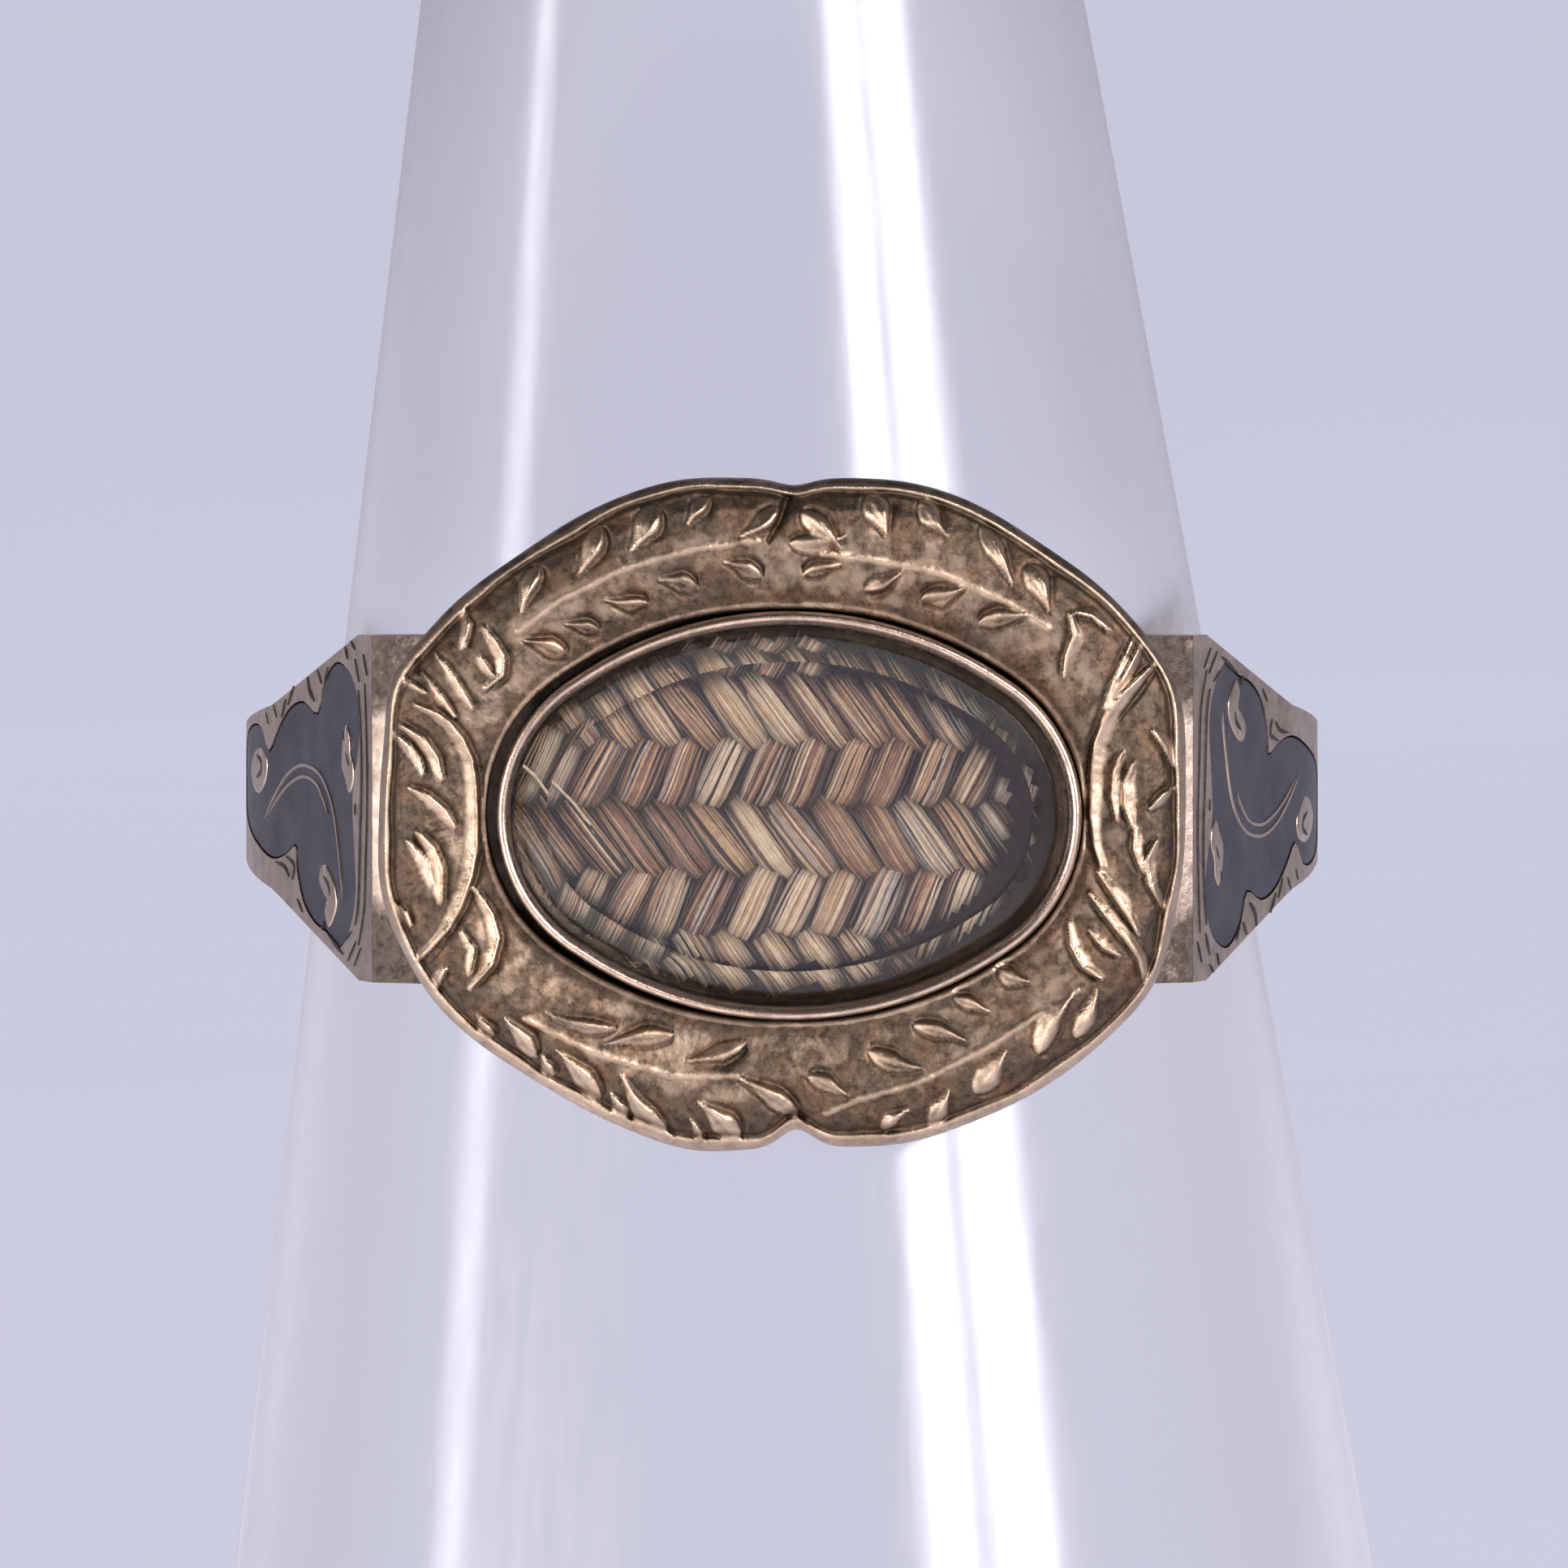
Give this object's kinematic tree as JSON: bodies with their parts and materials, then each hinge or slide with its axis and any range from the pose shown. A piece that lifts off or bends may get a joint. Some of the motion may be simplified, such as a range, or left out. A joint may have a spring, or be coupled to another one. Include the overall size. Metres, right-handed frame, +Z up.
{
  "type": "mourning ring on a clear ring cone",
  "caption": "Mourning ring with a lobed leafy gold border round an oval plaited hair panel under crystal, enamelled shoulders, standing on a clear ring cone.",
  "frame": {"origin": "middle of the cone's foot, on the surface that it stands on", "axes": "+Z up the cone, the ring's head faces -Y, +X to the right of someone who looks at the head"},
  "size_m": [0.0259, 0.026, 0.054],
  "materials": {
    "rose_gold": "worn pinkish gold, engraved",
    "yellow_gold": "antique gold, bright on the crests and dark in the hollows",
    "rim_gold": "polished pinkish gold",
    "crystal": "clear, polished, bevelled",
    "hair": "plaited hair, brown to fair",
    "enamel": "dark slate blue enamel",
    "clear_acrylic": "clear, polished, lightly scratched"
  },
  "bodies": {
    "root": {"ring_shank": "rose_gold", "leaf_border": "yellow_gold", "crystal_rim": "rim_gold", "crystal": "crystal", "hair_panel": "hair", "enamel_left": "enamel", "enamel_right": "enamel", "ring_cone": "clear_acrylic"}
  },
  "joints": []
}
